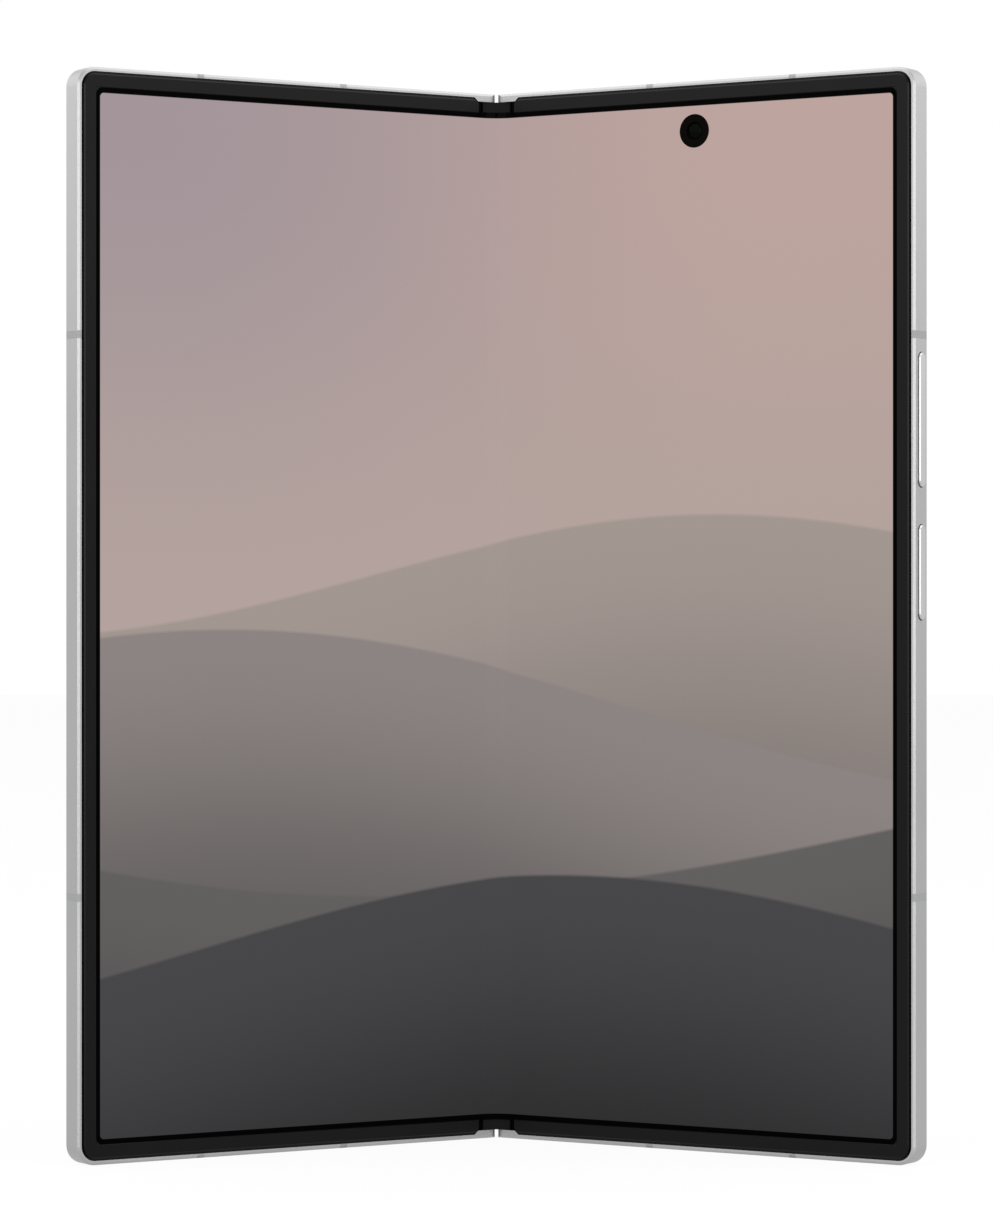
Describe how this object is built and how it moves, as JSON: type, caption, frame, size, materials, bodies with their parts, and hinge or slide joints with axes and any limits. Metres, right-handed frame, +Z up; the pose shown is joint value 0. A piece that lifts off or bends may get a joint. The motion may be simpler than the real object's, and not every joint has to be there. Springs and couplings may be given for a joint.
{
  "type": "foldable smartphone",
  "caption": "Foldable smartphone: equal halves on a geared two-axis spine hinge, folding inner screen in a raised black bezel, silver rails, side keys, cover display, camera island.",
  "frame": {"origin": "middle of the footprint, on the surface that the phone stands on", "axes": "+Z up along the hinge; the inner screen faces -Y and the hinge is at +Y; +X is to the viewer's right"},
  "size_m": [0.1244, 0.0408, 0.1584],
  "materials": {
    "silver": "satin anodised",
    "steel": "machined",
    "bright_steel": "ground",
    "band": "moulded, tinted to the rails",
    "bezel": "soft matt",
    "cap": "moulded",
    "screen": "folding display, switched off",
    "cover_glass": "polished",
    "rear_glass": "etched matt",
    "lens_glass": "coated",
    "flash": "ribbed lens",
    "module": "moulded",
    "battery": "wrapped cell",
    "board": "circuit board",
    "contact": "moulded"
  },
  "bodies": {
    "spine": {"spine_cover": "silver", "spine_cap_top": "cap", "spine_cap_bottom": "cap", "hinge_base_upper": "steel", "hinge_base_lower": "steel", "sync_case": "steel", "sync_pins": "bright_steel", "fold_screen": "screen"},
    "left_half": {"left_rail_hinge_ends": "silver", "left_rail_mids": "silver", "left_rail_corner_top": "silver", "left_rail_corner_bottom": "silver", "left_rail_side": "silver", "left_bands": "band", "left_bezel": "bezel", "left_mid_frame": "steel", "left_screen": "screen", "left_wing_brackets": "steel", "cover_screen": "cover_glass", "cover_camera": "lens_glass", "left_battery": "battery", "sub_board": "board", "earpiece": "module", "sim_cage": "steel"},
    "right_half": {"right_rail_hinge_ends": "silver", "right_rail_mid_top": "silver", "right_rail_mid_bottom": "silver", "right_rail_corners": "silver", "right_rail_side": "silver", "right_bands": "band", "right_bezel": "bezel", "right_mid_frame": "steel", "right_screen": "screen", "right_wing_brackets": "steel", "inner_camera": "lens_glass", "rear_glass": "rear_glass", "camera_island": "silver", "lens_rings": "silver", "lens_glasses": "lens_glass", "flash_lens": "flash", "camera_modules": "module", "right_battery": "battery", "main_board": "board", "shield_can": "bright_steel", "loudspeaker": "module", "usb_shell": "bright_steel", "usb_tongue": "contact", "key_switches": "module"},
    "left_sync_arm": {"left_sync_arm": "bright_steel"},
    "right_sync_arm": {"right_sync_arm": "bright_steel"},
    "left_idler": {"left_idler": "steel"},
    "right_idler": {"right_idler": "steel"},
    "volume_key": {"volume_key": "silver"},
    "side_key": {"side_key": "silver"},
    "sim_tray": {"sim_tray": "silver"}
  },
  "joints": [
    {"name": "left_fold", "type": "hinge", "parent": "spine", "child": "left_half", "pos_m": [-0.00165, 0.01764, 0.0792], "axis": [0, 0, 1], "range_deg": [-32, 58], "deforming": ["fold_screen"]},
    {"name": "right_fold", "type": "hinge", "parent": "spine", "child": "right_half", "pos_m": [0.00165, 0.01764, 0.0792], "axis": [0, 0, -1], "range_deg": [-32, 58]},
    {"name": "left_arm_turn", "type": "hinge", "parent": "spine", "child": "left_sync_arm", "pos_m": [-0.00243, 0.01842, 0.0792], "axis": [0, 0, 1], "range_deg": [-32, 58]},
    {"name": "right_arm_turn", "type": "hinge", "parent": "spine", "child": "right_sync_arm", "pos_m": [0.00243, 0.01842, 0.0792], "axis": [0, 0, -1], "range_deg": [-32, 58]},
    {"name": "left_idler_turn", "type": "hinge", "parent": "spine", "child": "left_idler", "pos_m": [-0.00081, 0.01842, 0.0792], "axis": [0, 0, -1], "range_deg": [-32, 58]},
    {"name": "right_idler_turn", "type": "hinge", "parent": "spine", "child": "right_idler", "pos_m": [0.00081, 0.01842, 0.0792], "axis": [0, 0, 1], "range_deg": [-32, 58]},
    {"name": "volume_rock", "type": "hinge", "parent": "right_half", "child": "volume_key", "pos_m": [0.05939, -0.01779, 0.1075], "axis": [0.5299, 0.848, 0], "range_deg": [-1.2, 1.2], "stiffness_Nm_per_rad": 0.05},
    {"name": "side_press", "type": "slide", "parent": "right_half", "child": "side_key", "axis": [-0.848, 0.5299, 0], "range_m": [0, 0.00025], "stiffness_N_per_m": 2000, "springref_m": -0.0005},
    {"name": "tray_pull", "type": "slide", "parent": "left_half", "child": "sim_tray", "axis": [0, 0, 1], "range_m": [0, 0.018]}
  ],
  "couplings": [
    {"joint": "right_fold", "follows": "left_fold", "ratio": 1},
    {"joint": "left_arm_turn", "follows": "left_fold", "ratio": 1},
    {"joint": "right_arm_turn", "follows": "left_fold", "ratio": 1},
    {"joint": "left_idler_turn", "follows": "left_fold", "ratio": 1},
    {"joint": "right_idler_turn", "follows": "left_fold", "ratio": 1}
  ]
}
